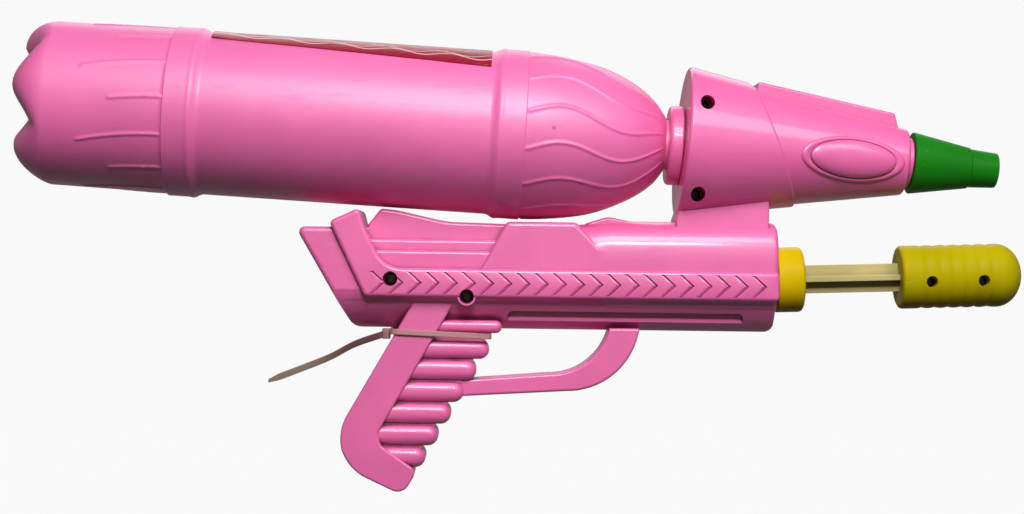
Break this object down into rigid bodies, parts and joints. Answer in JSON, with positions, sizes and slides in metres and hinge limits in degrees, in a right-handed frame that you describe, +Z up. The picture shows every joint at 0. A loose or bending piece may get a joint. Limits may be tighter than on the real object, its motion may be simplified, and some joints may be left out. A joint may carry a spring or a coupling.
{
  "type": "water squirter",
  "caption": "Hand-pumped water squirter: a screw-on bottle along the top of a pistol-shaped moulded body, with a push-pull pump handle below a tapered nozzle",
  "frame": {"origin": "In the palm of the pistol grip, on the parting plane between the two half shells", "axes": "+X runs forward to the nozzle, +Y to the left side, +Z up; the pictured side is the right side, -Y"},
  "size_m": [0.5003, 0.0848, 0.2309],
  "materials": {
    "pink_shell_plastic": "glossy moulded polystyrene with a faint flow haze",
    "pink_bottle_plastic": "glossy blow-moulded polyethylene",
    "label_film": null,
    "green_plastic": "satin moulded plastic",
    "amber_plastic": "satin moulded plastic",
    "yellow_plastic": "satin moulded plastic, scuffed on the bands",
    "cream_plastic": "natural unpigmented plastic, slightly soiled",
    "natural_plastic": "natural unpigmented polyethylene",
    "clear_hose": "clear flexible vinyl",
    "seal_rubber": "matte black rubber",
    "screw_steel": "zinc-plated steel"
  },
  "bodies": {
    "gun_body": {"right_shell": "pink_shell_plastic", "left_shell": "pink_shell_plastic", "shell_screw_rear": "screw_steel", "shell_screw_mid": "screw_steel", "head_screw_upper": "screw_steel", "head_screw_lower": "screw_steel", "nozzle": "green_plastic", "outlet_pipe": "pink_shell_plastic", "bottle_socket": "pink_shell_plastic", "pickup_tube": "clear_hose", "pump_cylinder": "natural_plastic", "gland_cap": "amber_plastic", "valve_block": "natural_plastic", "inlet_cap": "natural_plastic", "outlet_cap": "natural_plastic", "outlet_spring": "screw_steel", "feed_hose": "clear_hose", "delivery_hose": "clear_hose", "grip_tie": "natural_plastic"},
    "pump": {"pump_rod": "cream_plastic", "piston_seal": "seal_rubber", "handle_right": "yellow_plastic", "handle_left": "yellow_plastic", "handle_screw_rear": "screw_steel", "handle_screw_front": "screw_steel"},
    "washer": {"mouth_washer": "seal_rubber"},
    "bottle": {"bottle": "pink_bottle_plastic", "bottle_label": "label_film"},
    "inlet_ball": {"inlet_ball": "screw_steel"},
    "outlet_ball": {"outlet_ball": "screw_steel"}
  },
  "joints": [
    {"name": "pump_slide", "type": "slide", "parent": "gun_body", "child": "pump", "axis": [0.9994, 0, 0.0349], "range_m": [-0.045, 0.045]},
    {"name": "bottle_back_off", "type": "slide", "parent": "gun_body", "child": "washer", "axis": [-0.9984, 0, 0.0558], "range_m": [0, 0.006]},
    {"name": "bottle_turn", "type": "hinge", "parent": "washer", "child": "bottle", "pos_m": [0.1335, 0, 0.1264], "axis": [-0.9984, 0, 0.0558], "range_deg": [0, 720]},
    {"name": "inlet_ball_lift", "type": "slide", "parent": "gun_body", "child": "inlet_ball", "axis": [-0.0349, 0, 0.9994], "range_m": [0, 0.0015]},
    {"name": "outlet_ball_lift", "type": "slide", "parent": "gun_body", "child": "outlet_ball", "axis": [-0.0349, 0, 0.9994], "range_m": [0, 0.0015], "stiffness_N_per_m": 60, "springref_m": -0.002, "deforming": ["outlet_spring"]}
  ],
  "couplings": [
    {"joint": "bottle_back_off", "follows": "bottle_turn", "m_per_rad": 0.00047746}
  ]
}
